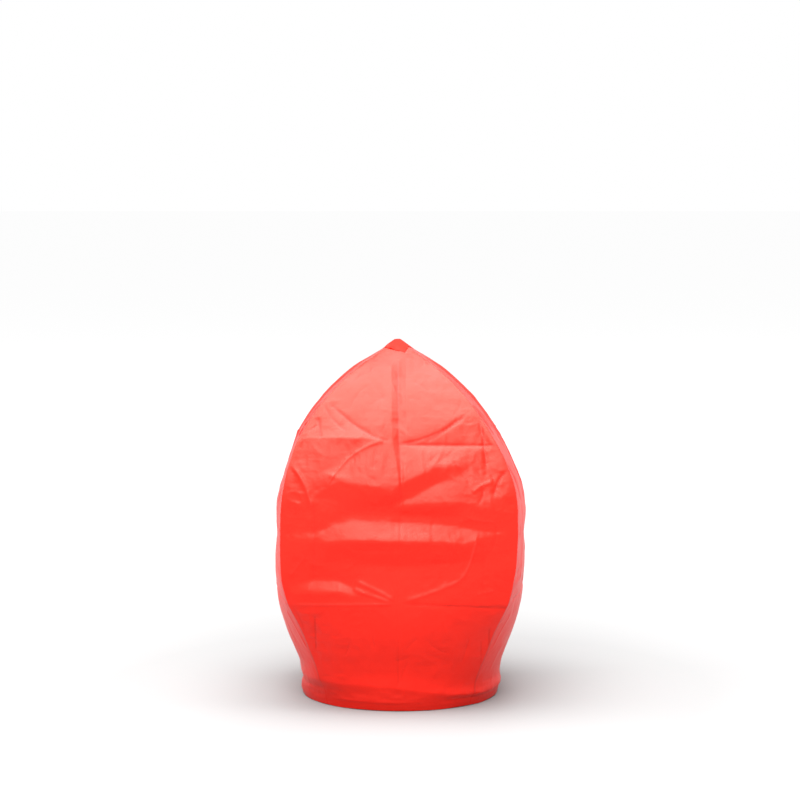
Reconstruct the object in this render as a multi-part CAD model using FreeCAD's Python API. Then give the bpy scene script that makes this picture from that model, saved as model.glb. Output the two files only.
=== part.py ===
import FreeCAD, Part
import math
import os

# A paper sky lantern that stands on its hoop. Millimetres, +Z up. The origin is the centre of the
# hoop's underside. The front gore faces -Y. Wire A runs along X, wire B along Y.

# Driving dimensions
PAPER = 0.6             # wall of each gore
SEAM_GAP = 0.05         # glue line, each side of a seam plane
LAP_HEIGHT = 14.0       # the gores stand straight this far, over the hem tape

TAPE = 0.5              # thickness of the hem tape
TAPE_INNER_RADIUS = 184.4
TAPE_OUTER_RADIUS = 190.5
TAPE_INNER_LEG = 8.5    # top of the leg inside the hoop
TAPE_OUTER_LEG = 12.0   # top of the leg outside the hoop
TAPE_FOLD = 0.9         # outer radius of its two folds

HOOP_INNER_RADIUS = 186.0
HOOP_OUTER_RADIUS = 189.0
HOOP_BOTTOM = 2.0
HOOP_TOP = 10.0
HOOP_EDGE = 0.7         # rounding of the strip's long edges
HOOP_LAP = 42.0         # the strip's two ends lie side by side over this length
LAP_GAP = 0.3
LAP_ANGLE = 135.0       # where the lap is, about +Z from +X

BINDING = 0.45          # thread wound round the lap
BINDING_WIDTH_DEG = 2.2
BINDING_OFFSET_DEG = 5.0

WIRE = 0.9              # cross wires
WIRE_HEIGHT = 10.55     # axis of a cross wire as it passes over the hoop
WIRE_B_DIP = 6.3        # axis of wire B where it passes under the fuel cell
WIRE_B_FLAT = 40.0      # half length of that low stretch
WIRE_B_SHOULDER = 176.0 # where it starts to dip, from the axis
WIRE_BEND = 0.9         # bend radius where a wire turns round the hoop
WIRE_TURN_RADIUS = 1.15 # winding of a wire's end about itself
WIRE_TURN_PITCH = 1.15
WIRE_TURNS = 3
STEPS_PER_TURN = 6

PAD_SIDE = 52.0         # waxed fuel pads
PAD_HEIGHT = 10.0
PAD_CORNER = 4.0
PAD_EDGE = 1.5
PAD_BOTTOM = 11.3
PAD_GAP = 0.05
UPPER_PAD_TURN = 5.0    # the upper pad lies a little askew

TIE = 0.8               # staples that hold the pads on wire A
TIE_X = 8.0
TIE_LEG_Y = 6.0
TIE_BEND = 1.2
TIE_HOLE = 1.8
TIE_UNDER = 9.0         # where a staple's legs meet below wire A
TIE_TAIL_Y = 0.5
TIE_TAIL_BOTTOM = 4.0

CROWN_REACH = 30.0      # the crown patch is a square sheet, its corners this far from the axis
CROWN_CLEARANCE = 1.4   # sideways, from the gores' middles
CROWN_TOP = 695.0

# Outside of the envelope: height, half width at the middle of a gore, half width at its seams.
ENVELOPE = [
    (0.0, 191.8, 135.6),
    (LAP_HEIGHT / 2, 191.8, 135.6),
    (LAP_HEIGHT, 191.8, 135.6),
    (32.0, 192.7, 137.3),
    (60.0, 197.5, 147.0),
    (110.0, 215.5, 166.5),
    (155.0, 231.0, 183.0),
    (205.0, 240.0, 205.0),
    (270.0, 242.0, 219.5),
    (340.0, 241.0, 222.0),
    (410.0, 234.5, 219.0),
    (470.0, 214.0, 204.0),
    (525.0, 185.5, 178.5),
    (575.0, 150.0, 145.5),
    (620.0, 106.0, 103.0),
    (650.0, 68.0, 66.0),
    (672.0, 33.0, 32.0),
    (684.0, 16.0, 15.4),
]
GORE_COLUMNS = 9        # points across a gore
GORES = [("gore_front", 0), ("gore_right", 90), ("gore_back", 180), ("gore_left", 270)]

UP = FreeCAD.Vector(0, 0, 1)
CENTRE = FreeCAD.Vector(0, 0, 0)


def export(node, shape):
    if not shape.isValid():
        raise ValueError(node + " is not a valid shape")
    shape.exportStep("parts/%s.step" % node)
    print("%-18s solids %2d  volume %10.1f mm3" % (node, len(shape.Solids), shape.Volume))


# ---- envelope ----

def slope_factor(row):
    """How much longer a horizontal step through the sloping wall is than its thickness."""
    low = ENVELOPE[max(row - 1, 0)]
    high = ENVELOPE[min(row + 1, len(ENVELOPE) - 1)]
    return math.hypot(1.0, (high[1] - low[1]) / (high[0] - low[0]))


def gore_row(height, middle, seam):
    """Points on the circular arc from seam to seam of the front gore at one height."""
    half_chord = seam - SEAM_GAP
    rise = middle - seam
    radius = (half_chord ** 2 + rise ** 2) / (2.0 * rise)
    half_angle = math.asin(half_chord / radius)
    row = []
    for column in range(GORE_COLUMNS):
        angle = half_angle * (2.0 * column / (GORE_COLUMNS - 1) - 1.0)
        x = radius * math.sin(angle)
        y = radius - middle - radius * math.cos(angle)
        row.append(FreeCAD.Vector(x, y, height))
    return row


def gore_face(inset):
    grid = []
    for row, (height, middle, seam) in enumerate(ENVELOPE):
        step = inset * slope_factor(row)
        grid.append(gore_row(height, middle - step, seam - step))
    surface = Part.BSplineSurface()
    surface.interpolate(grid)
    return surface


def edge_on(surface, side):
    """One boundary curve of a surface, as an edge."""
    u0, u1, v0, v1 = surface.bounds()
    curve = {
        "first_row": lambda: surface.uIso(u0),
        "last_row": lambda: surface.uIso(u1),
        "first_column": lambda: surface.vIso(v0),
        "last_column": lambda: surface.vIso(v1),
    }[side]()
    return curve.toShape()


def front_gore():
    outside = gore_face(0.0)
    inside = gore_face(PAPER)
    faces = [outside.toShape(), inside.toShape()]
    for side in ("first_row", "last_row", "first_column", "last_column"):
        faces.append(Part.makeRuledSurface(edge_on(outside, side), edge_on(inside, side)))
    shell = Part.makeShell(faces)
    shell.sewShape(0.01)
    solid = Part.makeSolid(shell)
    if solid.Volume < 0:
        solid.reverse()
    return solid


def square_wire(half, height):
    corners = [(-half, -half), (half, -half), (half, half), (-half, half), (-half, -half)]
    return Part.makePolygon([FreeCAD.Vector(x, y, height) for x, y in corners])


def tip_solid(grow, lift):
    """The closed four-sided shape of the envelope's tip, grown sideways and raised."""
    levels = [(height, middle) for height, middle, seam in ENVELOPE if height >= 650.0]
    levels.append((CROWN_TOP, 5.0))
    wires = [square_wire(middle + grow, height + lift) for height, middle in levels]
    return Part.makeLoft(wires, True, True)


def crown_patch():
    """A square sheet of paper draped over the tip, its corners on the middles of the gores."""
    hollow = tip_solid(CROWN_CLEARANCE, -PAPER)
    cap = tip_solid(CROWN_CLEARANCE + PAPER, 0.0).cut(hollow)
    side = CROWN_REACH * math.sqrt(2.0)
    sheet = Part.makeBox(side, side, 60.0, FreeCAD.Vector(-side / 2, -side / 2, 650.0))
    sheet.rotate(CENTRE, UP, 45.0)
    return cap.common(sheet)


# ---- hoop ----

def ring_section(corners, rounds):
    """A closed outline in the XZ plane from (radius, height) corners, each rounded, as a face."""
    points = [FreeCAD.Vector(radius, 0, height) for radius, height in corners]
    count = len(points)
    entries, exits, arcs = [], [], []
    for index, (point, rounding) in enumerate(zip(points, rounds)):
        back = (points[index - 1] - point).normalize()
        ahead = (points[(index + 1) % count] - point).normalize()
        entries.append(point + back * rounding)
        exits.append(point + ahead * rounding)
        if rounding:
            nearest = point + (back + ahead) * (rounding * (1.0 - math.sqrt(0.5)))
            arcs.append(Part.Arc(entries[-1], nearest, exits[-1]).toShape())
    lines = [Part.makeLine(exits[index - 1], entries[index]) for index in range(count)]
    return Part.Face(Part.Wire(Part.__sortEdges__(lines + arcs)))


def hoop_section(grow):
    low_r, high_r = HOOP_INNER_RADIUS - grow, HOOP_OUTER_RADIUS + grow
    low_z, high_z = HOOP_BOTTOM - grow, HOOP_TOP + grow
    corners = [(low_r, low_z), (high_r, low_z), (high_r, high_z), (low_r, high_z)]
    return ring_section(corners, [HOOP_EDGE + grow] * 4)


def lap_slit(low_r, high_r, start, turn):
    """Part of the gap between the hoop's two ends, between two radii, over an angle in degrees."""
    low_z, high_z = HOOP_BOTTOM - 1.0, HOOP_TOP + 1.0
    corners = [(low_r, low_z), (high_r, low_z), (high_r, high_z), (low_r, high_z)]
    slit = ring_section(corners, [0] * 4).revolve(CENTRE, UP, turn)
    slit.rotate(CENTRE, UP, start)
    return slit


def hoop():
    """A bamboo strip bent into a ring. Its two ends are pared to half thickness and overlap."""
    middle = (HOOP_INNER_RADIUS + HOOP_OUTER_RADIUS) / 2.0
    inside, outside = middle - LAP_GAP / 2, middle + LAP_GAP / 2
    lap = math.degrees(HOOP_LAP / middle)
    end = math.degrees(LAP_GAP / middle)
    start = LAP_ANGLE - lap / 2
    ring = hoop_section(0.0).revolve(CENTRE, UP, 360.0)
    return ring.cut([
        lap_slit(inside, outside, start, lap),
        lap_slit(HOOP_INNER_RADIUS - 1.0, outside, start - end / 2, end),
        lap_slit(inside, HOOP_OUTER_RADIUS + 1.0, start + lap - end / 2, end),
    ])


def hoop_bindings():
    """Two bands of thread round the lap."""
    bands = []
    for side in (-1, 1):
        band = hoop_section(BINDING).cut(hoop_section(0.02)).Faces[0]
        band = band.revolve(CENTRE, UP, BINDING_WIDTH_DEG)
        start = LAP_ANGLE + side * BINDING_OFFSET_DEG - BINDING_WIDTH_DEG / 2
        band.rotate(CENTRE, UP, start)
        bands.append(band)
    return Part.makeCompound(bands)


def hem_tape():
    """A strip of paper folded under the hoop, its legs up both sides."""
    corners = [
        (TAPE_INNER_RADIUS, 0.0),
        (TAPE_OUTER_RADIUS, 0.0),
        (TAPE_OUTER_RADIUS, TAPE_OUTER_LEG),
        (TAPE_OUTER_RADIUS - TAPE, TAPE_OUTER_LEG),
        (TAPE_OUTER_RADIUS - TAPE, TAPE),
        (TAPE_INNER_RADIUS + TAPE, TAPE),
        (TAPE_INNER_RADIUS + TAPE, TAPE_INNER_LEG),
        (TAPE_INNER_RADIUS, TAPE_INNER_LEG),
    ]
    inner_fold = TAPE_FOLD - TAPE
    rounds = [TAPE_FOLD, TAPE_FOLD, 0, 0, inner_fold, inner_fold, 0, 0]
    return ring_section(corners, rounds).revolve(CENTRE, UP, 360.0)


# ---- wires ----

def bent_path(points, radius):
    """Straight runs joined by tangent arcs, each as near to the radius as its two runs allow."""
    edges = []
    start = points[0]
    for before, corner, after in zip(points, points[1:], points[2:]):
        back = (before - corner).normalize()
        ahead = (after - corner).normalize()
        turn = math.pi - back.getAngle(ahead)
        run = min((before - corner).Length, (after - corner).Length)
        cut = min(radius * math.tan(turn / 2.0), 0.45 * run)
        bend = cut / math.tan(turn / 2.0)
        to_centre = bend / math.cos(turn / 2.0)
        bisector = (back + ahead).normalize()
        first = corner + back * cut
        last = corner + ahead * cut
        nearest = corner + bisector * (to_centre - bend)
        edges.append(Part.makeLine(start, first))
        edges.append(Part.Arc(first, nearest, last).toShape())
        start = last
    edges.append(Part.makeLine(start, points[-1]))
    return Part.Wire(edges)


def bent_wire(points, radius, diameter):
    path = bent_path(points, radius)
    direction = (points[1] - points[0]).normalize()
    circle = Part.makeCircle(diameter / 2.0, points[0], direction)
    tube = path.makePipeShell([Part.Wire(circle)], True, False)
    expected = path.Length * math.pi * diameter ** 2 / 4.0
    if abs(tube.Volume / expected - 1.0) > 0.02:
        raise ValueError("a wire's volume is %.3f of its length's" % (tube.Volume / expected))
    return tube


def hoop_end():
    """The points of a cross wire's end, from its last straight run, round the hoop, and wound
    back about itself. It lies on the +X side."""
    outside = HOOP_OUTER_RADIUS + 0.5
    inside = HOOP_INNER_RADIUS - 0.55
    below = HOOP_BOTTOM - 0.6
    points = [
        (outside, 0.0, WIRE_HEIGHT),
        (outside, 0.4, below),
        (inside, 1.0, below),
    ]
    for step in range(WIRE_TURNS * STEPS_PER_TURN + 1):
        angle = 2.0 * math.pi * step / STEPS_PER_TURN
        points.append((
            inside - WIRE_TURN_PITCH * step / STEPS_PER_TURN,
            WIRE_TURN_RADIUS * math.cos(angle),
            WIRE_HEIGHT + WIRE_TURN_RADIUS * math.sin(angle),
        ))
    return [FreeCAD.Vector(*point) for point in points]


def cross_wire(middle_run):
    """A wire from hoop to hoop along X. Both ends are wound the same way."""
    end = hoop_end()
    other = [FreeCAD.Vector(-point.x, -point.y, point.z) for point in end]
    return bent_wire(other[::-1] + middle_run + end, WIRE_BEND, WIRE)


def cross_wire_a():
    return cross_wire([])


def cross_wire_b():
    half = [(WIRE_B_FLAT, WIRE_B_DIP), (WIRE_B_SHOULDER, WIRE_HEIGHT)]
    dip = [FreeCAD.Vector(-x, 0, z) for x, z in half[::-1]]
    dip += [FreeCAD.Vector(x, 0, z) for x, z in half]
    wire = cross_wire(dip)
    wire.rotate(CENTRE, UP, 90.0)
    return wire


# ---- fuel cell ----

def fuel_pad(bottom, turn):
    half = PAD_SIDE / 2.0
    pad = Part.makeBox(PAD_SIDE, PAD_SIDE, PAD_HEIGHT, FreeCAD.Vector(-half, -half, bottom))
    uprights = [edge for edge in pad.Edges if abs(edge.tangentAt(edge.FirstParameter).z) > 0.5]
    pad = pad.makeFillet(PAD_CORNER, uprights)
    rims = [edge for edge in pad.Edges
            if abs(edge.BoundBox.ZMax - edge.BoundBox.ZMin) < 0.01]
    pad = pad.makeFillet(PAD_EDGE, rims)
    pad.rotate(CENTRE, UP, turn)
    for x in (-TIE_X, TIE_X):
        for y in (-TIE_LEG_Y, TIE_LEG_Y):
            hole = Part.makeCylinder(TIE_HOLE / 2, PAD_HEIGHT + 2, FreeCAD.Vector(x, y, bottom - 1))
            pad = pad.cut(hole)
    return pad


def cell_ties(pads_top):
    """Two wire staples through the pads, each with its legs brought together under wire A."""
    over = pads_top + TIE / 2 + 0.1
    under_pad = PAD_BOTTOM - TIE / 2 - 0.1
    side = [
        (TIE_LEG_Y, over),
        (TIE_LEG_Y, under_pad),
        (TIE_TAIL_Y, TIE_UNDER),
        (TIE_TAIL_Y, TIE_TAIL_BOTTOM),
    ]
    ties = []
    for x in (-TIE_X, TIE_X):
        points = [FreeCAD.Vector(x, -y, z) for y, z in side[::-1]]
        points += [FreeCAD.Vector(x, y, z) for y, z in side]
        ties.append(bent_wire(points, TIE_BEND, TIE))
    return Part.makeCompound(ties)


def build():
    os.makedirs("parts", exist_ok=True)
    gore = front_gore()
    for node, angle in GORES:
        piece = gore.copy()
        piece.rotate(CENTRE, UP, angle)
        export(node, piece)
    export("crown_patch", crown_patch())
    export("hoop", hoop())
    export("hoop_bindings", hoop_bindings())
    export("hem_tape", hem_tape())
    export("cross_wire_a", cross_wire_a())
    export("cross_wire_b", cross_wire_b())
    upper_bottom = PAD_BOTTOM + PAD_HEIGHT + PAD_GAP
    export("fuel_pad_lower", fuel_pad(PAD_BOTTOM, 0.0))
    export("fuel_pad_upper", fuel_pad(upper_bottom, UPPER_PAD_TURN))
    export("cell_ties", cell_ties(upper_bottom + PAD_HEIGHT))


build()
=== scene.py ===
import math

import bpy
import numpy as np
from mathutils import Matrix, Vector, geometry
from mathutils.bvhtree import BVHTree


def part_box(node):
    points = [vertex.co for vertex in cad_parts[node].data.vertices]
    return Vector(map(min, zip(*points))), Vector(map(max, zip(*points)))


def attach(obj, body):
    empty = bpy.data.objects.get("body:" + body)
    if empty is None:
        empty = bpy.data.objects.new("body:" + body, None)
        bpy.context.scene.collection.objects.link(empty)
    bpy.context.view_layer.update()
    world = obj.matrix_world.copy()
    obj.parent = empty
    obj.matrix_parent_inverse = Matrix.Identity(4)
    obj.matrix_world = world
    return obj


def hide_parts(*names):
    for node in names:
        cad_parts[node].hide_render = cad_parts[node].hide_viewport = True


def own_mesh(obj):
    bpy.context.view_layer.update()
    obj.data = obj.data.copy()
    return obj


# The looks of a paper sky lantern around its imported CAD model. Lengths are millimetres until a mesh
# is made, and then metres. The front gore faces -Y, and each gore is built facing front and turned.

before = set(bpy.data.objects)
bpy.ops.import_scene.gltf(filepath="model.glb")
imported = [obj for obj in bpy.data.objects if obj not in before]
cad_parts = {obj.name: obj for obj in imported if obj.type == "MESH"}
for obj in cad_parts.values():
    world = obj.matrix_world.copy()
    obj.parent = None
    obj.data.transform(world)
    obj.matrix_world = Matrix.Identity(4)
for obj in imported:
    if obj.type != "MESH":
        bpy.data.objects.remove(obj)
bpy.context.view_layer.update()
MM = 0.001

# ---- gores ----
GORES = [("gore_front", 0), ("gore_right", 1), ("gore_back", 2), ("gore_left", 3)]
COLUMNS = 220           # quads across a gore
ROWS = 338              # quads from hem to tip
SHEET = 0.28            # thickness shown
GORE_BOTTOM = 0.9
GORE_TOP = 683.8
LAP_COLUMNS = 4         # the front and back gores are pasted this far over their neighbours
LAP_LIFT = 0.33
FOLD_BLUR = 6           # softening of the folds, in passes

# Folds of the front gore, each a line of (x, height, how far the paper stands out there). Between
# the lines the paper is flat, as creased paper is.
FOLDS = [
    # upper cross fold: a ridge on the left, a valley on the right
    [(-196, 517, 0.5), (-140, 518, 4), (-84, 518, 6), (-40, 516, 4.5), (-8, 513, 1)],
    [(5, 508, -1), (40, 508, -3), (82, 508, -4), (166, 507, -3.5), (206, 506, 0)],
    # where the hoop pressed into the folded paper, above the fold
    [(-130, 582, 0), (-105, 562, -1.5), (-79, 542, -1.5), (-53, 526, 0.5), (-31, 516, 3)],
    [(134, 563, 0), (112, 545, 0.5), (84, 531, 0.5), (53, 519, -0.5), (29, 513, -1.5)],
    # and below it
    [(-53, 505, 2), (-86, 487, -2), (-105, 467, -3), (-123, 443, -2), (-130, 429, 0)],
    # the paper stands out over a hanging sag
    [(-142, 457, 1), (-116, 451, 3), (-89, 442, 5), (-63, 435, 6.5), (-29, 428, 7), (-6, 421, 6.5)],
    [(10, 436, 7), (43, 452, 6.5), (76, 469, 5), (104, 467, 2.5)],
    [(-152, 412, -1), (-122, 411, -4), (-85, 398, -7), (-38, 397, -7.5), (-6, 397, -7)],
    # beside the middle it turns back once more
    [(14, 409, -6), (45, 423, -6.5), (82, 441, -5), (110, 448, -2.5)],
    [(14, 398, -4), (64, 399, -1.5), (110, 403, 1)],
    # the light band
    [(-119, 368, -8), (-82, 386, -11), (-26, 382, -11.5), (36, 379, -11.5), (83, 376, -10),
     (113, 371, -8)],
    [(-150, 347, -3), (-119, 358, -7), (-82, 370, -10), (-26, 366, -10.5), (36, 363, -10.5),
     (83, 361, -9.5), (113, 358, -8), (144, 354, -3), (169, 350, -1), (206, 352, 0)],
    [(-149, 335, 1), (-128, 329, 5), (-88, 333, 7.5), (5, 333, 8), (67, 332, 8), (129, 327, 6),
     (169, 337, 3.5), (203, 345, 1)],
    # the dark hollow under it
    [(-190, 290, -0.5), (-122, 291, -4), (-40, 285, -5), (60, 284, -5), (138, 292, -3.5),
     (195, 290, -0.5)],
    # a short light shelf, low on the left
    [(-198, 245, -3), (-151, 256, -8), (-110, 256, -8), (-82, 246, -5)],
    [(-200, 230, 1), (-152, 233, 4), (-104, 235, 4), (-66, 227, 1.5)],
    # lower cross fold
    [(-205, 210, 0.5), (-150, 211, 1.5), (-90, 213, 2), (-4, 215, 1)],
    [(7, 214, 0.5), (80, 212, 1), (150, 207, 1), (215, 201, 0)],
    # plain paper below it
    [(-160, 150, 0.5), (-60, 150, 1.5), (60, 150, 1.5), (160, 150, 0)],
    [(-140, 95, 0), (-50, 92, 0.5), (50, 92, 0), (140, 90, 0)],
    # plain paper near the tip
    [(-80, 600, 0.8), (0, 600, 0.8), (80, 600, 0.8)],
    [(-150, 540, 0.5), (-120, 530, 1.5)],
    # the right shoulder
    [(128, 492, -1.5), (150, 468, -3), (180, 455, -3), (208, 450, -1)],
    [(126, 402, 1.5), (138, 398, 2), (160, 391, 3.2), (190, 389, 3.2), (214, 390, 1)],
]

# Sharp narrow creases of the front gore: points, how far they stand out, and how wide they are.
CREASES = [
    ([(-190, 517), (-84, 518), (-40, 516), (-8, 513)], 0.6, 2.5),
    ([(3, 508), (82, 508), (166, 507), (204, 507)], -1.4, 2.6),
    ([(-130, 582), (-105, 562), (-79, 542), (-53, 526), (-31, 516), (-8, 514)], -1.2, 2.2),
    ([(-143, 585), (-127, 559), (-110, 541), (-91, 530)], -0.9, 2.2),
    ([(134, 563), (112, 545), (84, 531), (53, 519), (29, 513), (3, 510)], -1.1, 2.2),
    ([(119, 555), (96, 537), (78, 523), (53, 514)], -0.9, 2.2),
    ([(-21, 514), (-53, 505), (-86, 487), (-105, 467), (-123, 443), (-130, 429)], 2.0, 3.6),
    ([(-160, 567), (-147, 548), (-142, 515)], -1.3, 3.0),
    ([(-179, 532), (-160, 532), (-149, 543)], -1.0, 2.2),
    ([(156, 557), (162, 521), (166, 492), (169, 465)], -1.7, 4.5),
    ([(-38, 500), (-41, 462)], -0.5, 3.0),
    ([(106, 480), (115, 468), (129, 450), (141, 435)], -0.7, 2.4),
    ([(-203, 476), (-183, 457), (-172, 440), (-162, 416), (-155, 392)], 1.8, 3.2),
    ([(218, 469), (199, 453), (189, 437), (181, 414)], -1.6, 3.0),
    ([(141, 421), (160, 435), (181, 441)], 1.6, 2.8),
    ([(160, 435), (164, 417), (153, 399)], -0.8, 2.6),
    ([(160, 435), (150, 446), (136, 452)], -0.6, 2.6),
    ([(203, 405), (222, 398)], -0.7, 2.4),
    ([(200, 386), (222, 384)], 0.6, 2.4),
    ([(138, 373), (165, 369), (190, 367)], 0.7, 2.4),
    ([(-82, 244), (-57, 234), (-7, 218)], 1.6, 2.8),
    ([(-76, 258), (-44, 244), (-1, 222)], 1.6, 2.6),
    ([(-196, 210), (-100, 213), (2, 215)], 1.3, 2.4),
    ([(5, 214), (100, 210), (223, 200)], -0.9, 2.4),
    ([(12, 219), (55, 231), (86, 243), (116, 255), (132, 274), (141, 300), (152, 350)], 1.4, 3.0),
    ([(151, 231), (185, 238)], 0.9, 2.6),
    ([(-153, 410), (-152, 323), (-156, 240)], -0.6, 2.8),
    ([(164, 330), (163, 250), (161, 215)], -0.5, 2.8),
    ([(-152, 190), (-153, 112)], -0.7, 2.6),
    ([(176, 166), (174, 106), (167, 63)], -0.7, 3.0),
    ([(160, 140), (159, 40)], -0.5, 2.6),
    ([(-170, 300), (-200, 262)], 0.5, 3.0),
    ([(-205, 345), (-192, 333)], -0.6, 3.0),
    ([(30, 620), (62, 600)], -0.4, 2.4),
    ([(20, 590), (46, 586)], -0.4, 2.2),
    ([(-70, 630), (-98, 600)], 0.4, 3.0),
]

# The other gores take the same folds, because all four were folded together: (mirrored, share of
# the height, seed).
GORE_VARIANTS = {0: (1, 1.0, 11), 1: (1, -0.25, 23), 2: (-1, 0.85, 37), 3: (-1, -0.25, 53)}
CREASE_SHARE = 1.35     # how strongly they show
CREASE_TIP = 1.2        # how blunt they are, so that the mesh can follow them
LOOSE_CREASES = 150     # small chance creases on each gore

CROSS_FOLDS = (207.0, 512.0)    # heights at which they meet the seams

# The fold down the middle of a gore: (height, sideways place, depth).
CENTRE_FOLD = [(50, -1, 1.0), (113, 0, 0.7), (213, 1, 0.3), (297, 4, 0.35), (409, 6, 1.2), (444, 6, 1.9),
               (494, 3, 2.5), (516, 0, 3.6), (586, -2, 4.2), (640, -5, 4.0), (668, -6, 0.0)]

# The front gore's folds sit this far round to the left.
FOLDS_TURN = math.radians(1.0)

# The envelope leans a little: (height, sideways shift).
LEAN = [(0, 0.0), (250, 0.0), (340, 2.4), (430, 2.4), (480, -0.5), (510, -3.6), (560, -4.8), (700, -4.8)]

# ---- hoop ----
HOOP_BOX = (186.0, 189.0, 2.0, 10.0)    # inner and outer radius, bottom and top
HOOP_MIDDLE = 187.5
HOOP_EDGE = 0.7                         # rounding of its long edges

# ---- lip over the hoop ----
# The paper turns in above the hoop along a line: (degrees from the front, height).
LIP_LINE = [(-180, 40), (-120, 44), (-90, 38), (-61, 43), (-50, 50), (-28, 48), (0, 46), (20, 35),
            (41, 24), (62, 20), (90, 22), (130, 32), (180, 40)]
LIP_OUT = 6.0           # it stands out along that line
# How far it is drawn in above the hoop: (degrees from the front, distance).
LIP_TUCK = [(-180, 1.2), (-100, 1.4), (-50, 1.0), (-22, 0.0), (0, 0.0), (18, 0.2), (34, 1.9),
            (60, 2.6), (110, 1.4), (180, 1.2)]
TUCK_HEIGHT = 17.0
FLARE = 2.6             # it stands out a little more over the hoop itself
FLARE_HEIGHT = 14.0

# ---- numbers ----

def smoothstep(value):
    value = np.clip(value, 0.0, 1.0)
    return value * value * (3.0 - 2.0 * value)


def lattice(ix, iy, iz, seed):
    """A repeatable number from -1 to 1 for each whole point."""
    mask = 0xFFFFFFFF
    mixed = (ix * 374761393 + iy * 668265263 + iz * 1274126177 + seed * 974711) & mask
    mixed = ((mixed ^ (mixed >> 13)) * 1103515245) & mask
    mixed = ((mixed ^ (mixed >> 15)) * 2246822519) & mask
    return ((mixed >> 8) & 0xFFFF) / 32767.5 - 1.0


def lumps(points, size, seed):
    """Smooth noise from -1 to 1 over points, its lumps about as wide as size."""
    scaled = np.asarray(points, float) / size
    whole = np.floor(scaled).astype(np.int64)
    part = smoothstep(scaled - whole)
    total = 0.0
    for corner in range(8):
        step = [(corner >> axis) & 1 for axis in range(3)]
        share = 1.0
        for axis in range(3):
            share = share * (part[..., axis] if step[axis] else 1.0 - part[..., axis])
        cell = [whole[..., axis] + step[axis] for axis in range(3)]
        total = total + share * lattice(*cell, seed)
    return total


def ridges(points, size, seed):
    """Sharp-edged noise from -1 to 1, with ridges where the smooth noise passes 0."""
    return 1.0 - 2.0 * np.abs(lumps(points, size, seed))


def ring_place(angle, radius, along=0.0):
    """Points round a circle, where noise meets itself again after a turn."""
    return np.stack(np.broadcast_arrays(np.cos(angle) * radius, np.sin(angle) * radius, along), axis=-1)


def path_distance(x, z, points):
    """How far each (x, z) is from a line through points, and how far along that line, from 0 to 1."""
    corners = np.array(points, float)
    runs = np.diff(corners, axis=0)
    lengths = np.hypot(runs[:, 0], runs[:, 1])
    reached = np.concatenate([[0.0], np.cumsum(lengths)])
    nearest = np.full(x.shape, 1e9)
    along = np.zeros(x.shape)
    for start, run, length, before in zip(corners, runs, lengths, reached):
        share = np.clip(((x - start[0]) * run[0] + (z - start[1]) * run[1]) / length ** 2, 0, 1)
        distance = np.hypot(x - start[0] - share * run[0], z - start[1] - share * run[1])
        closer = distance < nearest
        nearest = np.where(closer, distance, nearest)
        along = np.where(closer, (before + share * length) / reached[-1], along)
    return nearest, along


def rounded(points):
    """The same line with its corners cut twice."""
    line = np.array(points, float)
    for _ in range(2):
        if len(line) < 3:
            break
        early = 0.75 * line[:-1] + 0.25 * line[1:]
        late = 0.25 * line[:-1] + 0.75 * line[1:]
        middle = np.stack([early, late], axis=1).reshape(-1, line.shape[1])
        line = np.concatenate([line[:1], middle, line[-1:]])
    return line


def spaced(points, step):
    """Points along a line of (x, height, out), about a step apart."""
    line = np.array(points, float)
    found = [line[0]]
    for start, end in zip(line, line[1:]):
        count = max(1, round(math.hypot(end[0] - start[0], end[1] - start[1]) / step))
        found += [start + (end - start) * index / count for index in range(1, count + 1)]
    return found


# ---- the envelope's profile, read from the CAD ----

def tree_of(node):
    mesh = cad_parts[node].data
    corners = [vertex.co for vertex in mesh.vertices]
    return BVHTree.FromPolygons(corners, [polygon.vertices for polygon in mesh.polygons])


def read_profile():
    """Heights, half widths at the middle of the front gore, and half widths at its seams."""
    tree = tree_of("gore_front")
    heights = np.linspace(GORE_BOTTOM, GORE_TOP, 240)
    middle, seam = [], []
    for height in heights:
        point = tree.ray_cast(Vector((0, -1, height * MM)), Vector((0, 1, 0)))[0]
        middle.append(-point.y / MM)
        point = tree.ray_cast(Vector((-0.599, -0.6, height * MM)), Vector((1, 1, 0)))[0]
        seam.append(-(point.x + point.y) / 2.0 / MM)
    kernel = np.exp(-np.linspace(-2, 2, 9) ** 2)
    kernel /= kernel.sum()
    smooth = [np.convolve(np.pad(values, 4, mode="reflect", reflect_type="odd"), kernel, "valid")
              for values in (middle, seam)]
    return heights, smooth[0], smooth[1]


HEIGHTS, MIDDLE, SEAM = read_profile()


def gore_point(u, z):
    """Points of the plain front gore: u from -1 to 1 across it, z the height."""
    middle = np.interp(z, HEIGHTS, MIDDLE)
    seam = np.minimum(np.interp(z, HEIGHTS, SEAM), middle - 0.5)
    rise = middle - seam
    radius = (seam ** 2 + rise ** 2) / (2.0 * rise)
    angle = u * np.arcsin(seam / radius)
    x = radius * np.sin(angle)
    y = radius - middle - radius * np.cos(angle)
    return np.stack(np.broadcast_arrays(x, y, z), axis=-1)


def gore_rows():
    """Heights of the rows, evenly spaced along the middle of a gore."""
    fine = np.linspace(GORE_BOTTOM, GORE_TOP, 2000)
    middle = np.interp(fine, HEIGHTS, MIDDLE)
    length = np.concatenate([[0.0], np.cumsum(np.hypot(np.diff(fine), np.diff(middle)))])
    return np.interp(np.linspace(0.0, length[-1], ROWS + 1), length, fine)


ROW_HEIGHTS = gore_rows()


# ---- folds and creases ----

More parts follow.
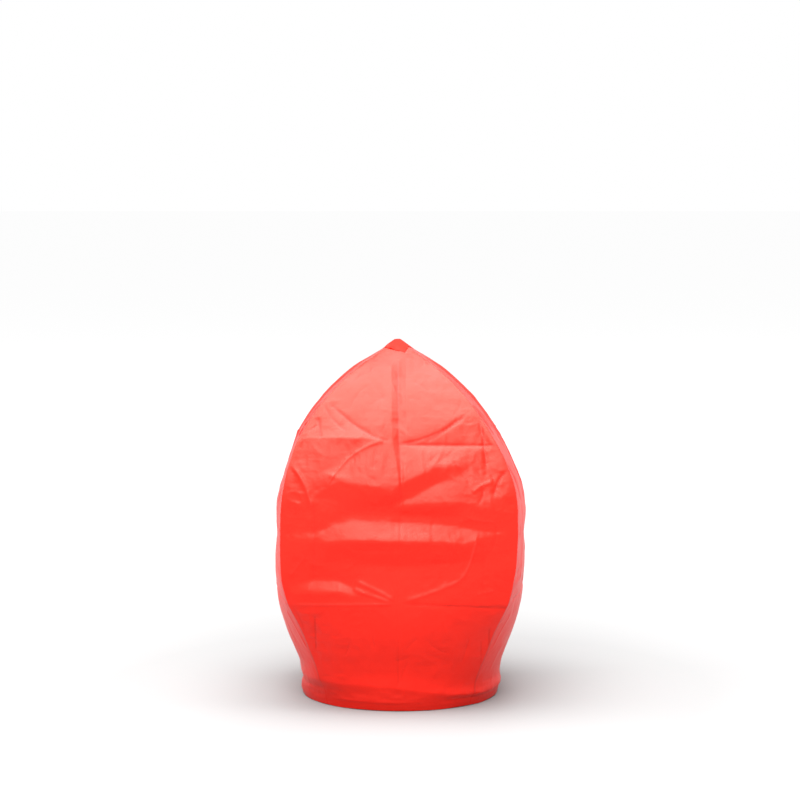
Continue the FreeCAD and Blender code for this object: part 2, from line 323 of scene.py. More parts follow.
def fold_height(x, z, mirror, share, seed):
    """How far the folds stand out: flat facets between the fold lines."""
    wander = np.random.default_rng(seed)
    drift = 0.0 if share == 1.0 else 9.0
    points = []
    for line in FOLDS:
        shift = wander.normal(0.0, drift, 2)
        level = share * (1.0 if drift == 0.0 else wander.uniform(0.6, 1.25))
        for px, pz, out in spaced(line, 12.0):
            points.append((mirror * px + shift[0], pz + 0.4 * shift[1], out * level))
    for height in np.arange(60.0, 676.0, 14.0):
        edge = float(np.interp(height, HEIGHTS, SEAM)) * 1.02
        points += [(-edge, height, 0.0), (edge, height, 0.0)]
    for px in (-400.0, 0.0, 400.0):
        points += [(px, 20.0, 0.0), (px, 700.0, 0.0)]
    flat = [Vector((px, pz)) for px, pz, _ in points]
    corners, _, faces, origins = geometry.delaunay_2d_cdt(flat, [], [], 0, 1e-4)[:4]
    level = [points[origin[0]][2] if origin else 0.0 for origin in origins]
    found = np.zeros(x.shape)
    for face in faces:
        a, b, c = (corners[index] for index in face)
        det = (b.y - c.y) * (a.x - c.x) + (c.x - b.x) * (a.y - c.y)
        if abs(det) < 1e-9:
            continue
        rows = (z[:, 0] > min(a.y, b.y, c.y) - 1.0) & (z[:, 0] < max(a.y, b.y, c.y) + 1.0)
        right, up = x[rows] - c.x, z[rows] - c.y
        wa = ((b.y - c.y) * right + (c.x - b.x) * up) / det
        wb = ((c.y - a.y) * right + (a.x - c.x) * up) / det
        wc = 1.0 - wa - wb
        inside = (wa >= -1e-6) & (wb >= -1e-6) & (wc >= -1e-6)
        height = wa * level[face[0]] + wb * level[face[1]] + wc * level[face[2]]
        found[rows] = np.where(inside, height, found[rows])
    for _ in range(FOLD_BLUR):
        padded = np.pad(found, 1, mode="edge")
        found = (padded[1:-1, 1:-1] * 2 + padded[:-2, 1:-1] + padded[2:, 1:-1]
                 + padded[1:-1, :-2] + padded[1:-1, 2:]) / 6.0
    return found


def centre_fold(x, z, mirror, side):
    """The fold down the middle of a gore: one steep flank and one gentle one, with a darker line along
    its valley, partly a real mark of the crease and partly painted shade.
    """
    heights, places, depths = (np.array(column, float) for column in zip(*CENTRE_FOLD))
    depth = np.interp(z, heights, depths) * smoothstep((z - 44.0) / 12.0)
    across = mirror * x - np.interp(z, heights, places) - 4.0
    gentle = np.interp(z, [440.0, 520.0], [6.0, 15.0])
    steep = np.interp(z, [440.0, 520.0], [3.5, 13.0])
    flank = np.where(across < 0, 1.0 + across / steep, 1.0 - across / gentle)
    # painted shade, with a real mark of the crease: a darker line down the valley of the fold
    wear_and_crease_shade = -0.32 * depth * np.exp(-(across / 2.2) ** 2)
    return -side * depth * np.clip(flank, 0.0, 1.0), side * wear_and_crease_shade


def draw_crease(x, z, height, wear_and_crease_shade, line, out, width, mark, fade, line_width):
    """Adds one crease to its height and to its colour mark, on the rows of the grid that it can reach."""
    rows = (z[:, 0] > line[:, 1].min() - 24.0) & (z[:, 0] < line[:, 1].max() + 24.0)
    distance, along = path_distance(x[rows], z[rows], line)
    ends = smoothstep(along / fade) * smoothstep((1.0 - along) / fade)
    blunt = np.hypot(distance, CREASE_TIP) - CREASE_TIP
    height[rows] += out * ends * np.exp(-blunt / width)
    wear_and_crease_shade[rows] += mark * ends * np.exp(-(distance / line_width) ** 2)


def crease_height(x, z, mirror, share, seed):
    """Narrow creases, as a height and as a colour mark: above 0 a rubbed, lighter ridge, below 0 a valley
    darkened partly as a real mark of the crease and partly as painted shade.
    """
    wander = np.random.default_rng(seed + 1)
    side = 1.0 if share > 0 else -1.0
    shown = 1.0 if share > 0 else 0.45
    height, wear_and_crease_shade = centre_fold(x, z, mirror, side)
    for points, out, width in CREASES:
        shift = np.zeros(2) if share == 1.0 else wander.normal(0.0, 6.0, 2)
        line = rounded(points) * np.array([mirror, 1.0]) + shift * np.array([1.0, 0.4])
        # valleys get a darker mark, partly painted shade, and ridges a lighter rubbed one
        mark = side * math.copysign(min(max(abs(out) - 0.1, 0.25), 1.2), out)
        draw_crease(x, z, height, wear_and_crease_shade, line, CREASE_SHARE * side * out, width, mark * shown, 0.12, 2.1)
    for _ in range(LOOSE_CREASES):
        centre = np.array([wander.uniform(-205, 205), wander.uniform(60, 640)])
        turn = wander.uniform(0.0, math.pi)
        reach = wander.uniform(8.0, 48.0)
        step = np.array([math.cos(turn), math.sin(turn)]) * reach
        aside = np.array([-step[1], step[0]]) * wander.normal(0.0, 0.18)
        line = rounded([centre - step, centre + aside, centre + step])
        out = wander.choice([-1.0, 1.0]) * wander.uniform(0.25, 0.9)
        draw_crease(x, z, height, wear_and_crease_shade, line, out, wander.uniform(2.2, 7.5), 0.3 * out, 0.3, 2.2)
    return height, wear_and_crease_shade


def crumples(x, z, seed):
    """Small sharp-edged crumples, stronger in some patches and beside the seams."""
    place = np.stack([x, z, np.zeros_like(x)], axis=-1)
    edge = np.interp(z, HEIGHTS, SEAM)
    patches = smoothstep(0.5 + 0.9 * lumps(place, 85.0, seed + 20))
    beside = np.exp(-np.clip(edge - np.abs(x), 0, None) / 34.0)
    upper = smoothstep((z - 360.0) / 60.0) * smoothstep((590.0 - z) / 60.0)
    strength = 0.25 + 0.5 * patches + 0.9 * beside * upper
    big = ridges(place * np.array([1.0, 1.25, 1.0]), 19.0, seed + 21)
    small = ridges(place * np.array([0.8, 1.4, 1.0]), 9.0, seed + 22)
    return strength * (0.55 * big + 0.24 * small)


def lip_height(angle, z):
    """How far the paper stands out from the axis just above the hoop. Angle 0 is the front."""
    degrees = np.degrees(angle)
    level = np.interp(degrees, *zip(*LIP_LINE))
    around = ring_place(angle, 3.0)
    vary = 1.0 + 0.35 * lumps(around, 1.0, 7)
    below = np.maximum(level - 14.0, 8.0) * 0.62
    out = LIP_OUT * vary * np.exp(-(np.abs(z - level) / np.where(z > level, 26.0, below)) ** 1.5)
    tuck = np.interp(degrees, *zip(*LIP_TUCK)) * (1.0 + 0.4 * lumps(around * 1.7, 1.0, 8))
    height = out - tuck * np.exp(-((z - TUCK_HEIGHT) / 7.0) ** 2)
    # pinched in on the left, above the hoop
    pinch = np.exp(-((degrees + 92.0) / 26.0) ** 2)
    height = height - pinch * (7.0 * np.exp(-((z - 36.0) / 10.0) ** 2)
                               + 5.0 * np.exp(-((z - 60.0) / 32.0) ** 2))
    # gathers that run up from the hoop
    for seed, count, reach in ((21, 46, 55.0), (22, 19, 90.0)):
        ridge = ridges(ring_place(angle, count / 6.3, z / 70.0), 1.0, seed)
        height = height + 0.7 * ridge * np.exp(-z / reach)
    # crumpled folds in the lip itself
    crumple = 0.5 - np.abs(lumps(ring_place(angle, 8.0, z / 11.0), 1.0, 23))
    height = height + 1.3 * crumple * np.exp(-((z - 30.0) / 20.0) ** 2)
    flare = np.where(z < FLARE_HEIGHT, z / FLARE_HEIGHT, 1.0 - (z - FLARE_HEIGHT) / 30.0)
    return height * smoothstep((z - 12.6) / 4.0) + FLARE * smoothstep(flare)


def seam_wobble(index, z):
    """How far a seam stands out along its diagonal."""
    line = np.stack([z, np.zeros_like(z), np.full_like(z, 31.0 * index)], axis=-1)
    wobble = 0.9 * lumps(line, 80.0, 90) + 0.5 * lumps(line, 23.0, 91)
    for level in CROSS_FOLDS:
        wobble = wobble + 1.2 * np.exp(-np.abs(z - level) / 14.0)
    return wobble * smoothstep((z - 60.0) / 60.0) * smoothstep((690.0 - z) / 60.0)


def surface_normals(points, wrap=False):
    """Outward directions of a grid of points, its columns running left to right."""
    if wrap:
        across = np.roll(points, -1, axis=1) - np.roll(points, 1, axis=1)
    else:
        across = np.gradient(points, axis=1)
    normal = np.cross(across, np.gradient(points, axis=0))
    return normal / np.linalg.norm(normal, axis=-1, keepdims=True)


def turned(points, quarter):
    angle = quarter * math.pi / 2.0
    cos, sin = math.cos(angle), math.sin(angle)
    x, y, z = np.moveaxis(points, -1, 0)
    return np.stack([cos * x - sin * y, sin * x + cos * y, z], axis=-1)


def gore_surface(quarter):
    """The outer side of one gore as a grid of points, and its crease marks: rubbed ridges, and valleys
    darkened partly as painted shade.
    """
    mirror, share, seed = GORE_VARIANTS[quarter]
    u = np.linspace(-1.0, 1.0, COLUMNS + 1)[None, :]
    z = ROW_HEIGHTS[:, None]
    points = gore_point(u, z)
    normals = surface_normals(points)
    x, height = points[..., 0], points[..., 2]
    inside = smoothstep((1.0 - np.abs(u)) / 0.09)
    above = smoothstep((height - 52.0) / 40.0) * smoothstep((684.0 - height) / 25.0)
    # the folds are placed on the leaning envelope
    if quarter == 0:
        x = x + np.interp(height, *zip(*LEAN)) - FOLDS_TURN * points[..., 1]
    narrow, wear_and_crease_shade = crease_height(x, height, mirror, share, seed)
    calm = 0.45 if quarter % 2 else 1.0
    out = (fold_height(x, height, mirror, share, seed) + calm * crumples(x, height, seed)) * above
    out = out + narrow * smoothstep((height - 26.0) / 20.0) * smoothstep((684.0 - height) / 25.0)
    out = out + calm * above * (0.8 * lumps(points, 46.0, seed + 5) + 0.3 * lumps(points, 17.0, seed + 6))
    # small puckers along the glued seams
    near = np.exp(-(1.0 - np.abs(u)) * 12.5)
    edges = np.stack(np.broadcast_arrays(height, np.sign(u) * 40.0, 0.0), axis=-1)
    pucker = lumps(edges, 7.5, seed + 7)
    out = out + 0.75 * above * near * pucker * smoothstep((1.0 - np.abs(u)) / 0.02)
    points = points + normals * (out * inside)[..., None]
    # seams, shared with the neighbours
    for side, index in ((-1, (quarter - 1) % 4), (1, quarter)):
        share_here = smoothstep(1.0 - (1.0 - side * u) / 0.4)
        diagonal = np.array([side, -1.0, 0.0]) / math.sqrt(2.0)
        points = points + (seam_wobble(index, height) * share_here)[..., None] * diagonal
    world = turned(points, quarter)
    angle = np.arctan2(world[..., 0], -world[..., 1])
    radial = np.stack([np.sin(angle), -np.cos(angle), np.zeros_like(angle)], axis=-1)
    world = world + radial * lip_height(angle, world[..., 2])[..., None]
    world[..., 0] += np.interp(world[..., 2], *zip(*LEAN))
    # the hem's edge isn't cut quite level
    edge = 1.1 * lumps(ring_place(angle, 5.0), 1.0, 60)
    world[..., 2] += (edge + 0.6) * smoothstep((8.0 - world[..., 2]) / 8.0)
    return world, wear_and_crease_shade


# ---- meshes ----

def grid_faces(rows, cols, wrap, start=0, flip=False):
    index = start + np.arange(rows * cols).reshape(rows, cols)
    right = np.roll(index, -1, axis=1) if wrap else index[:, 1:]
    left = index if wrap else index[:, :-1]
    quads = np.stack([left[:-1], right[:-1], right[1:], left[1:]], axis=-1).reshape(-1, 4)
    return quads[:, ::-1] if flip else quads


def borders(index, wrap):
    """The closed borders of a grid of vertex numbers, in the order its outer faces run."""
    if wrap:
        return [list(row) + [row[0]] for row in (index[0], index[-1, ::-1])]
    return [list(index[0]) + list(index[1:, -1]) + list(index[-1, -2::-1]) + list(index[-2::-1, 0])]


def new_object(name, vertices, faces, sharp=35.0):
    mesh = bpy.data.meshes.new(name)
    mesh.from_pydata((np.asarray(vertices) * MM).tolist(), [], [list(face) for face in faces])
    mesh.polygons.foreach_set("use_smooth", [True] * len(mesh.polygons))
    mesh.set_sharp_from_angle(angle=math.radians(sharp))
    mesh.update()
    piece = bpy.data.objects.new(name, mesh)
    bpy.context.scene.collection.objects.link(piece)
    return piece


def add_values(piece, name, values):
    attribute = piece.data.attributes.new(name, "FLOAT", "POINT")
    attribute.data.foreach_set("value", np.asarray(values, np.float32).ravel())


def add_rest(piece):
    """Keeps each point's place at rest, in metres, for the materials."""
    count = len(piece.data.vertices)
    places = np.zeros(count * 3, np.float32)
    piece.data.vertices.foreach_get("co", places)
    attribute = piece.data.attributes.new("rest", "FLOAT_VECTOR", "POINT")
    attribute.data.foreach_set("vector", places)


def thin_sheet(name, outer, thickness, wrap=False, values=None, step=1):
    """A closed thin mesh from the grid of points of its outer side. Its inner side takes every
    step-th point."""
    inner = (outer - surface_normals(outer, wrap) * thickness)[::step, ::step]
    count = outer.shape[0] * outer.shape[1]
    faces = grid_faces(*outer.shape[:2], wrap).tolist()
    faces += grid_faces(*inner.shape[:2], wrap, count, True).tolist()
    index = np.arange(count).reshape(outer.shape[:2])
    below = count + np.arange(inner.shape[0] * inner.shape[1]).reshape(inner.shape[:2])
    for loop, under in zip(borders(index, wrap), borders(below, wrap)):
        for place in range(len(under) - 1):
            run = loop[place * step:(place + 1) * step + 1]
            faces.append(run[::-1] + [under[place], under[place + 1]])
    vertices = np.concatenate([outer.reshape(-1, 3), inner.reshape(-1, 3)])
    piece = new_object(name, vertices, faces)
    add_rest(piece)
    for key, numbers in (values or {}).items():
        add_values(piece, key, np.concatenate([numbers.ravel(), numbers[::step, ::step].ravel()]))
    return piece


def tube(name, path, radius, sides=8):
    """A tube along a line of points, closed at both ends."""
    path = np.asarray(path, float)
    along = np.gradient(path, axis=0)
    along /= np.linalg.norm(along, axis=1, keepdims=True)
    side = np.cross(along[0], [0.3, 0.2, 1.0])
    rings = []
    for point, direction in zip(path, along):
        side = side - direction * np.dot(side, direction)
        side /= np.linalg.norm(side)
        other = np.cross(direction, side)
        turns = np.linspace(0.0, 2.0 * math.pi, sides, endpoint=False)[:, None]
        rings.append(point + radius * (np.cos(turns) * side + np.sin(turns) * other))
    rings = np.array(rings)
    faces = grid_faces(len(path), sides, True).tolist()
    last = (len(path) - 1) * sides
    faces += [list(range(sides))[::-1], list(range(last, last + sides))]
    piece = new_object(name, rings.reshape(-1, 3), faces)
    add_rest(piece)
    return piece


def joined(name, pieces):
    """Several meshes as one, with their attributes."""
    with bpy.context.temp_override(active_object=pieces[0], selected_editable_objects=pieces):
        bpy.ops.object.join()
    pieces[0].name = name
    pieces[0].data.name = name
    return pieces[0]


# ---- materials ----

class Nodes:
    """A short way to write a material's nodes."""

    def __init__(self, name):
        self.material = bpy.data.materials.new(name)
        self.material.use_nodes = True
        self.tree = self.material.node_tree
        self.shader = self.tree.nodes["Principled BSDF"]

    def add(self, kind, settings=None, **links):
        node = self.tree.nodes.new(kind)
        for key, value in (settings or {}).items():
            setattr(node, key, value)
        for key, value in links.items():
            self.feed(node.inputs[key.replace("_", " ")], value)
        return node

    def feed(self, socket, value):
        if isinstance(value, bpy.types.NodeSocket):
            self.tree.links.new(value, socket)
        elif isinstance(value, bpy.types.Node):
            self.tree.links.new(value.outputs[0], socket)
        else:
            socket.default_value = value

    def attribute(self, name, output="Fac"):
        return self.add("ShaderNodeAttribute", {"attribute_name": name}).outputs[output]

    def place(self):
        return self.attribute("rest", "Vector")

    def scaled(self, vector, scale):
        node = self.add("ShaderNodeVectorMath", {"operation": "MULTIPLY"})
        self.feed(node.inputs[0], vector)
        node.inputs[1].default_value = scale
        return node.outputs[0]

    def noise(self, vector, scale, detail=3.0, roughness=0.55):
        return self.add("ShaderNodeTexNoise", Vector=vector, Scale=scale, Detail=detail,
                        Roughness=roughness).outputs["Fac"]

    def math(self, operation, first, second=0.0, third=0.0, clamp=False):
        node = self.add("ShaderNodeMath", {"operation": operation, "use_clamp": clamp})
        for socket, value in zip(node.inputs, (first, second, third)):
            self.feed(socket, value)
        return node.outputs[0]

    def range(self, value, low, high, to_low=0.0, to_high=1.0):
        node = self.add("ShaderNodeMapRange", {"clamp": True})
        for socket, number in zip(node.inputs, (value, low, high, to_low, to_high)):
            self.feed(socket, number)
        return node.outputs[0]

    def mix(self, share, first, second):
        node = self.add("ShaderNodeMix", {"data_type": "RGBA"})
        self.feed(node.inputs["Factor"], share)
        sockets = [socket for socket in node.inputs if socket.type == "RGBA"]
        self.feed(sockets[0], first)
        self.feed(sockets[1], second)
        return [socket for socket in node.outputs if socket.type == "RGBA"][0]

    def bump(self, height, distance, strength=1.0, under=None):
        node = self.add("ShaderNodeBump", Height=height, Distance=distance, Strength=strength)
        if under is not None:
            self.feed(node.inputs["Normal"], under)
        return node.outputs[0]

    def shade(self, **inputs):
        """Feeds the shader's own sockets, by name, and gives the material."""
        for key, value in inputs.items():
            self.feed(self.shader.inputs[key.replace("_", " ")], value)
        return self.material


def rgb(red, green, blue):
    return (red, green, blue, 1.0)


def paper_material(name, bright, deep, gloss, crumple=1.0, dull=0.0):
    """Thin dyed paper: fibres, uneven dye, soft crumples, rubbed lighter ridges, valleys darkened partly
    as painted shade, painted shade low on the lip, and pasted paper darker where it lies in two layers.
    """
    n = Nodes(name)
    place = n.place()
    cloud = n.noise(place, 22.0, 4.0, 0.6)
    fibre = n.noise(n.scaled(place, (1.0, 1.0, 0.45)), 1500.0, 4.0, 0.6)
    fleck = n.noise(place, 420.0, 2.0, 0.5)
    uneven = n.math("ADD", n.range(cloud, 0.25, 0.75, 0.25, 0.6), n.range(fibre, 0.3, 0.7, 0.0, 0.4))
    colour = n.mix(uneven, deep, bright)
    pale = tuple(min(1.0, c * 1.25 + 0.012) for c in bright[:3]) + (1.0,)
    colour = n.mix(n.range(fleck, 0.66, 0.8, 0.0, 0.5), colour, pale)
    wear_and_crease_shade = n.attribute("wear_and_crease_shade")
    colour = n.mix(n.range(wear_and_crease_shade, 0.15, 1.1, 0.0, 0.55), colour, pale)
    # this darker red paints shade in crease valleys and low on the lip, and also darkens real marks and
    # paper lying in two layers
    dark = tuple(c * 0.4 for c in deep[:3]) + (1.0,)
    # painted shade: crease valleys darker, partly as a real mark of the crease
    colour = n.mix(n.range(wear_and_crease_shade, -0.1, -1.2, 0.0, 0.75), colour, dark)
    # painted shade: darker below the line where the paper turns in over the hoop; pasted laps, the patch
    # and the tape are darker where paper lies in two layers
    colour = n.mix(n.range(n.attribute("layers_and_lip_shade"), 0.0, 1.0, 0.0, 0.3), colour, dark)
    cell = n.add("ShaderNodeTexVoronoi", {"feature": "DISTANCE_TO_EDGE"}, Scale=62.0)
    warp = n.add("ShaderNodeTexNoise", Vector=place, Scale=30.0, Detail=2.0)
    moved = n.add("ShaderNodeVectorMath", {"operation": "MULTIPLY_ADD"})
    n.feed(moved.inputs[0], warp.outputs["Color"])
    moved.inputs[1].default_value = (0.022, 0.022, 0.022)
    n.feed(moved.inputs[2], place)
    n.feed(cell.inputs["Vector"], moved.outputs[0])
    small = n.range(cell.outputs["Distance"], 0.0, 0.16, 0.0, 1.0)
    waves = n.noise(place, 85.0, 3.0, 0.5)
    height = n.math("ADD", n.math("MULTIPLY", small, 0.16 * crumple), waves)
    coarse = n.bump(height, 0.0006 * crumple, 0.5)
    return n.shade(Base_Color=colour, Roughness=n.range(cloud, 0.3, 0.7, 0.36 + dull, 0.46 + dull),
                   Normal=n.bump(fibre, 0.00009, 0.6, coarse), Specular_IOR_Level=gloss,
                   Specular_Tint=rgb(1.0, 0.93, 0.78))


def bamboo_material():
    n = Nodes("bamboo_strip")
    place = n.add("ShaderNodeTexCoord").outputs["Object"]
    axes = n.add("ShaderNodeSeparateXYZ", Vector=place)
    angle = n.math("ARCTAN2", axes.outputs["Y"], axes.outputs["X"])
    radius = n.add("ShaderNodeVectorMath", {"operation": "LENGTH"}, Vector=place).outputs["Value"]
    along = n.add("ShaderNodeCombineXYZ", X=n.math("MULTIPLY", angle, 0.19), Y=radius,
                  Z=axes.outputs["Z"])
    fibres = n.noise(n.scaled(along.outputs[0], (22.0, 1500.0, 1500.0)), 1.0, 4.0, 0.6)
    patches = n.noise(n.scaled(along.outputs[0], (16.0, 60.0, 60.0)), 1.0, 3.0, 0.5)
    knot = n.math("ABSOLUTE", n.math("SINE", n.math("MULTIPLY_ADD", angle, 1.5, 0.6)))
    ring = n.range(knot, 0.0, 0.022, 1.0, 0.0)
    colour = n.mix(n.range(fibres, 0.3, 0.7), rgb(0.50, 0.33, 0.13), rgb(0.80, 0.62, 0.33))
    colour = n.mix(n.range(patches, 0.45, 0.75, 0.0, 0.5), colour, rgb(0.42, 0.34, 0.12))
    colour = n.mix(n.math("MULTIPLY", ring, 0.8), colour, rgb(0.22, 0.13, 0.05))
    grain = n.bump(fibres, 0.0002, 0.8)
    return n.shade(Base_Color=colour, Roughness=n.range(fibres, 0.3, 0.7, 0.58, 0.4),
                   Normal=n.bump(ring, 0.0004, 0.7, grain))


def wire_material():
    n = Nodes("iron_wire")
    place = n.add("ShaderNodeTexCoord").outputs["Object"]
    drawn = n.noise(n.scaled(place, (300.0, 300.0, 2600.0)), 1.0, 3.0, 0.6)
    spots = n.noise(place, 900.0, 3.0, 0.6)
    rust = n.range(spots, 0.58, 0.72)
    colour = n.mix(n.range(drawn, 0.3, 0.7), rgb(0.20, 0.20, 0.205), rgb(0.42, 0.42, 0.43))
    colour = n.mix(n.math("MULTIPLY", rust, 0.6), colour, rgb(0.16, 0.07, 0.03))
    return n.shade(Base_Color=colour, Roughness=n.math("MULTIPLY_ADD", rust, 0.3, 0.36),
                   Metallic=n.range(rust, 0.0, 1.0, 1.0, 0.3),
                   Normal=n.bump(n.math("ADD", drawn, spots), 0.00006, 0.6))


def thread_material():
    n = Nodes("cotton_thread")
    place = n.place()
    twist = n.add("ShaderNodeTexWave", {"bands_direction": "DIAGONAL"}, Vector=place, Scale=900.0,
                  Distortion=1.5, Detail=2.0).outputs["Fac"]
    fuzz = n.noise(place, 2500.0, 3.0, 0.6)
    # painted shade: darker bands along the twist, in the grooves between the plies
    colour = n.mix(twist, rgb(0.42, 0.38, 0.30), rgb(0.80, 0.77, 0.68))
    colour = n.mix(n.range(fuzz, 0.4, 0.7, 0.0, 0.4), colour, rgb(0.62, 0.56, 0.44))
    return n.shade(Base_Color=colour, Roughness=n.range(fuzz, 0.3, 0.7, 0.75, 0.95),
                   Normal=n.bump(n.math("ADD", twist, fuzz), 0.00012, 0.8))


def pad_material():
    """Sheets of paper soaked in wax: ivory, with soaked patches and frosted edges."""
    n = Nodes("waxed_paper")
    place = n.place()
    soaked = n.noise(place, 70.0, 4.0, 0.6)
    fibre = n.noise(place, 1300.0, 4.0, 0.6)
    frost = n.range(n.noise(place, 240.0, 3.0, 0.6), 0.48, 0.66)
    colour = n.mix(n.range(soaked, 0.35, 0.65), rgb(0.74, 0.60, 0.36), rgb(0.86, 0.80, 0.64))
    colour = n.mix(n.range(fibre, 0.55, 0.75, 0.0, 0.5), colour, rgb(0.60, 0.46, 0.25))
    colour = n.mix(n.math("MULTIPLY", frost, 0.45), colour, rgb(0.93, 0.91, 0.84))
    # painted shade: darker where the sheets of the stack meet, in the grooves between them
    layer = n.attribute("layer")
    colour = n.mix(n.math("MULTIPLY", layer, 0.5), colour, rgb(0.40, 0.28, 0.14))
    low = n.bump(soaked, 0.0007, 0.6)
    return n.shade(Base_Color=colour, Roughness=n.math("MULTIPLY_ADD", frost, 0.22, 0.34),
                   Normal=n.bump(n.math("ADD", fibre, frost), 0.00015, 0.6, low),
                   Subsurface_Weight=0.12, Subsurface_Radius=(0.004, 0.0025, 0.0012))


def floor_material():
    """A pale floor, greyer under the light so that it looks even."""
    n = Nodes("pale_floor")
    place = n.add("ShaderNodeTexCoord").outputs["Object"]
    away = n.add("ShaderNodeVectorMath", {"operation": "LENGTH"}, Vector=place).outputs["Value"]
    tone = n.noise(place, 0.7, 3.0, 0.5)
    even = n.range(n.math("MULTIPLY_ADD", tone, 0.2, away), 0.7, 5.5)
    return n.shade(Base_Color=n.mix(even, rgb(0.28, 0.28, 0.28), rgb(0.98, 0.98, 0.98)), Roughness=0.9,
                   Specular_IOR_Level=0.0)


GORE_PAPER = paper_material("red_gore_paper", rgb(0.72, 0.010, 0.003), rgb(0.62, 0.006, 0.002), 0.27)
PATCH_PAPER = paper_material("red_patch_paper", rgb(0.60, 0.010, 0.004), rgb(0.48, 0.006, 0.002), 0.1,
                             dull=0.16)
TAPE_PAPER = paper_material("red_tape_paper", rgb(0.60, 0.012, 0.005), rgb(0.46, 0.008, 0.003), 0.24,
                            0.6)


# ---- envelope ----

def paste(piece, material):
    piece.data.materials.clear()
    piece.data.materials.append(material)


surfaces = {quarter: gore_surface(quarter) for _, quarter in GORES}


for node, quarter in GORES:
    points, wear_and_crease_shade = surfaces[quarter]
    level = np.interp(np.degrees(np.arctan2(points[..., 0], -points[..., 1])), *zip(*LIP_LINE))
    # painted shade: darker below the line where the paper turns in over the hoop and faces down
    layers_and_lip_shade = 0.9 * smoothstep((level + 8.0 - points[..., 2]) / 24.0)
    if quarter % 2 == 0:
        lifted = {}
        for side in (-1, 1):
            beside, worn_and_shaded = surfaces[(quarter + side) % 4]
            lift = beside + surface_normals(beside) * LAP_LIFT
            columns = slice(1, LAP_COLUMNS + 1) if side > 0 else slice(-LAP_COLUMNS - 1, -1)
            lifted[side] = lift[:, columns], worn_and_shaded[:, columns]
        points = np.concatenate([lifted[-1][0], points, lifted[1][0]], axis=1)
        wear_and_crease_shade = np.concatenate([lifted[-1][1], wear_and_crease_shade, lifted[1][1]], axis=1)
        layers_and_lip_shade = np.pad(layers_and_lip_shade, ((0, 0), (LAP_COLUMNS, LAP_COLUMNS)), mode="edge")
        for lap in (slice(0, LAP_COLUMNS), slice(-LAP_COLUMNS, None)):
            layers_and_lip_shade[:, lap] = np.maximum(layers_and_lip_shade[:, lap], 0.8)
    piece = thin_sheet("paper_" + node, points, SHEET, values={"wear_and_crease_shade": wear_and_crease_shade, "layers_and_lip_shade": layers_and_lip_shade}, step=2)
    paste(piece, GORE_PAPER)
    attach(piece, "envelope")
    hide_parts(node)
    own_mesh(piece)


# ---- crown patch ----
PATCH_GRID = 44
PATCH_HALF = 25.0       # half the side of the square
PATCH_TURN = math.radians(-20.0)
PATCH_SHIFT = (0.5, -6.0)
PATCH_PROFILE = [(0.0, 694.2), (5.5, 693.6), (8.5, 691.5), (18.0, 684.2), (35.0, 672.2), (69.5, 650.4)]


def crown_patch():
    """A square of paper pasted over the tip, a little askew."""
    steps = np.linspace(-1.0, 1.0, PATCH_GRID + 1)
    p, q = np.meshgrid(steps, steps)
    cos, sin = math.cos(PATCH_TURN), math.sin(PATCH_TURN)
    x = (cos * p - sin * q) * PATCH_HALF + PATCH_SHIFT[0]
    y = (sin * p + cos * q) * PATCH_HALF + PATCH_SHIFT[1]
    rough = np.stack([x, y, np.zeros_like(x)], axis=-1)
    border = smoothstep((np.maximum(np.abs(p), np.abs(q)) - 0.6) / 0.4)
    spread = 1.0 + 0.09 * lumps(rough, 13.0, 71) * border
    x, y = x * spread, y * spread
    level = (np.abs(x) ** 8 + np.abs(y) ** 8) ** 0.125
    z = np.interp(level, *zip(*PATCH_PROFILE))
    # the flat top leans to the left, and each corner of the tip is a pleat
    z = z + 0.06 * x * np.exp(-(level / 12.0) ** 2)
    pleat = np.exp(-np.abs(np.abs(x) - np.abs(y)) / 2.2) * smoothstep(level / 12.0)
    z = z + 0.7 * pleat + 0.8 * lumps(rough, 9.0, 72) * smoothstep(level / 6.0)
    z = z + 0.35 * lumps(rough, 4.0, 73)
    z = z + 0.8 * smoothstep((np.maximum(np.abs(p), np.abs(q)) - 0.88) / 0.12) * lumps(rough, 7.0, 74)
    wear_and_crease_shade = 0.9 * pleat - 0.6 * lumps(rough, 9.0, 72)
    points = np.stack([x + np.interp(z, *zip(*LEAN)), y, z], axis=-1)
    piece = thin_sheet("crown_patch_paper", points, SHEET,
                       values={"wear_and_crease_shade": wear_and_crease_shade, "layers_and_lip_shade": np.full(wear_and_crease_shade.shape, 0.4)})
    paste(piece, PATCH_PAPER)
    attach(piece, "crown")
    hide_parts("crown_patch")
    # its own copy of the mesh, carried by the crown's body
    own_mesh(piece)


crown_patch()


# ---- hem tape ----
TAPE_STEPS = 720
TAPE_LAP = math.radians(5.0)
TAPE_START = math.radians(218.0)
TAPE_SHEET = 0.3
TAPE_FOLDS = (0.34, 0.66)   # its two folds, as shares of its width
TAPE_PATH = [(184.7, 8.4), (184.65, 5.0), (184.65, 1.3), (185.2, 0.55), (186.3, 0.5), (187.7, 0.5),
             (189.2, 0.5), (189.9, 0.7), (190.25, 1.4), (190.3, 5.0), (190.25, 9.0), (190.2, 11.8)]


